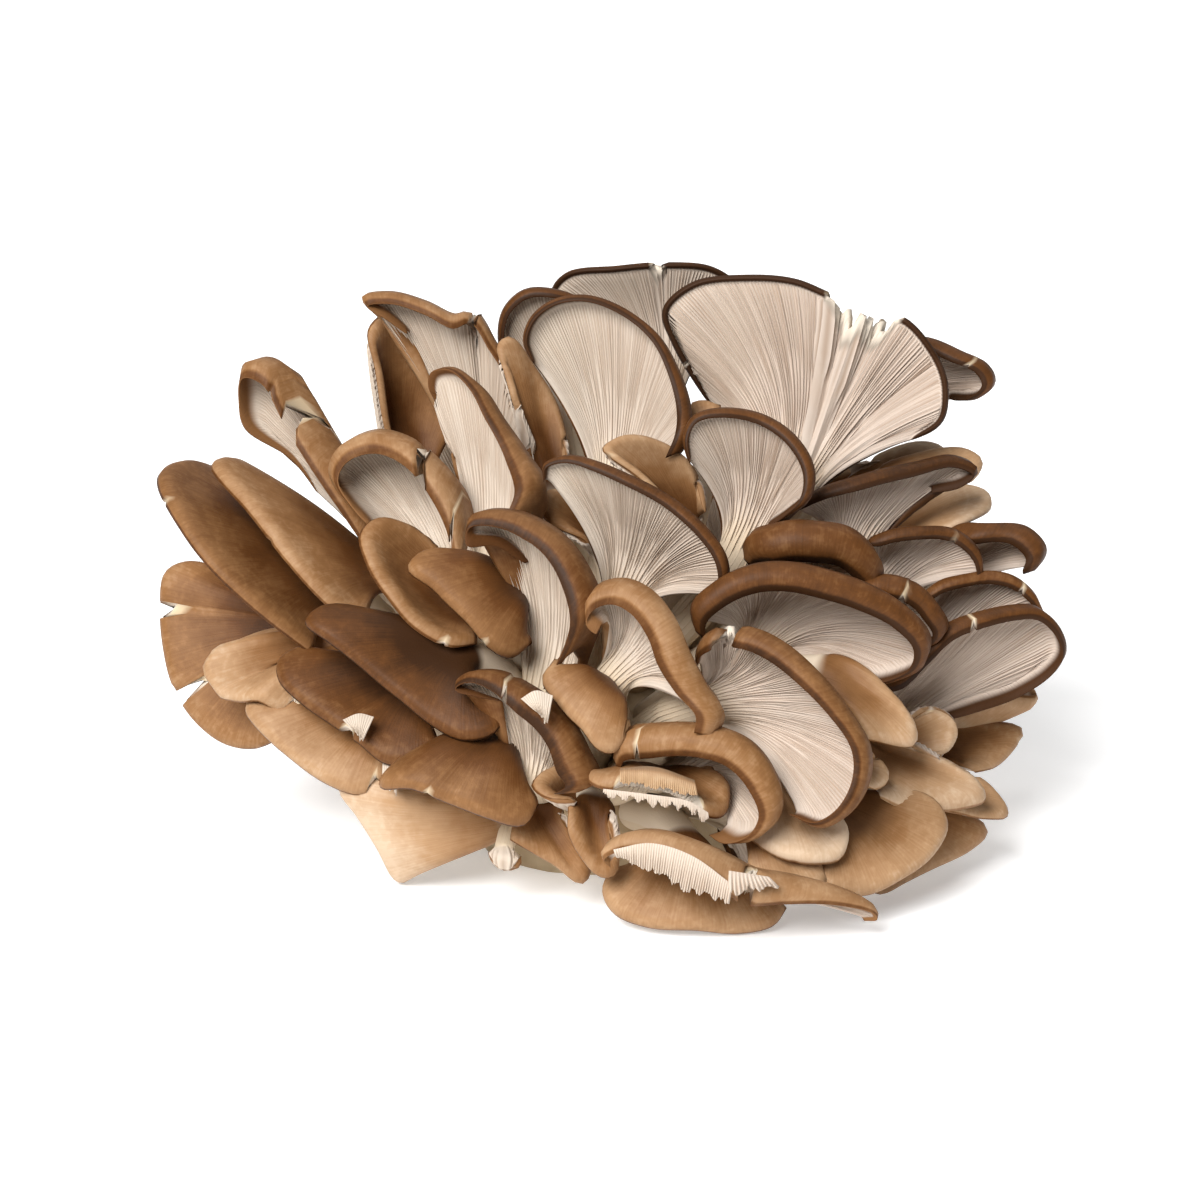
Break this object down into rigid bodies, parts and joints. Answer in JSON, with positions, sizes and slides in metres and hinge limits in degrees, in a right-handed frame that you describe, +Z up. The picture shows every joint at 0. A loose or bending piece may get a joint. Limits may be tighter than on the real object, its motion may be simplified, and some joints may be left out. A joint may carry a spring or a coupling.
{
  "type": "oyster mushroom cluster",
  "caption": "Picked cluster of oyster mushrooms: stems fan out of one cut butt and spread into overlapping caps, brown skin outside and pale gills inside.",
  "frame": {"origin": "middle of the flat cut under the butt, on the surface that the cluster stands on", "axes": "+Z up, +X to the right and -Y toward the front, where the gills of the upper caps show"},
  "size_m": [0.2819, 0.1879, 0.1722],
  "materials": {
    "mushroom": "matte to satin brown skin on the outside of each cap, pale cream gills inside and a pale fibrous stem",
    "butt_flesh": "dry pale cream flesh, browner where it was cut"
  },
  "bodies": {
    "root": {"back_far_left": "mushroom", "back_far_right": "mushroom", "back_low_left": "mushroom", "back_low_middle": "mushroom", "back_low_right": "mushroom", "back_middle": "mushroom", "back_middle_left": "mushroom", "back_middle_right": "mushroom", "butt": "butt_flesh", "centre_fan": "mushroom", "centre_hook_fan": "mushroom", "centre_left_fan": "mushroom", "far_right_top_fan": "mushroom", "front_broken_cap": "mushroom", "front_drooping_cap": "mushroom", "front_floor_cap": "mushroom", "front_hood_fan": "mushroom", "front_left_cap": "mushroom", "front_pale_cap": "mushroom", "front_right_fan": "mushroom", "front_split_fan": "mushroom", "front_torn_fan": "mushroom", "great_fan": "mushroom", "left_dark_cap": "mushroom", "left_floor_cap": "mushroom", "left_hood_fan": "mushroom", "left_long_cap": "mushroom", "left_low_cap": "mushroom", "left_mid_cap": "mushroom", "left_ruffled_cap": "mushroom", "left_second_cap": "mushroom", "left_split_fan": "mushroom", "left_top_cap": "mushroom", "left_top_fan": "mushroom", "left_torn_fan": "mushroom", "left_upper_cap": "mushroom", "left_upper_fan": "mushroom", "middle_cap": "mushroom", "middle_fan": "mushroom", "right_big_cap": "mushroom", "right_floor_cap": "mushroom", "right_lip_cap": "mushroom", "right_lip_far": "mushroom", "right_long_fan": "mushroom", "right_low_cap": "mushroom", "right_low_tongue": "mushroom", "right_middle_fan": "mushroom", "right_rear_fan": "mushroom", "right_shoulder_cap": "mushroom", "right_tongue_fan": "mushroom", "right_tucked_fan": "mushroom", "right_upper_cap": "mushroom", "right_upper_fan": "mushroom", "top_back_fan": "mushroom", "top_left_fan": "mushroom", "top_middle_fan": "mushroom"}
  },
  "joints": []
}
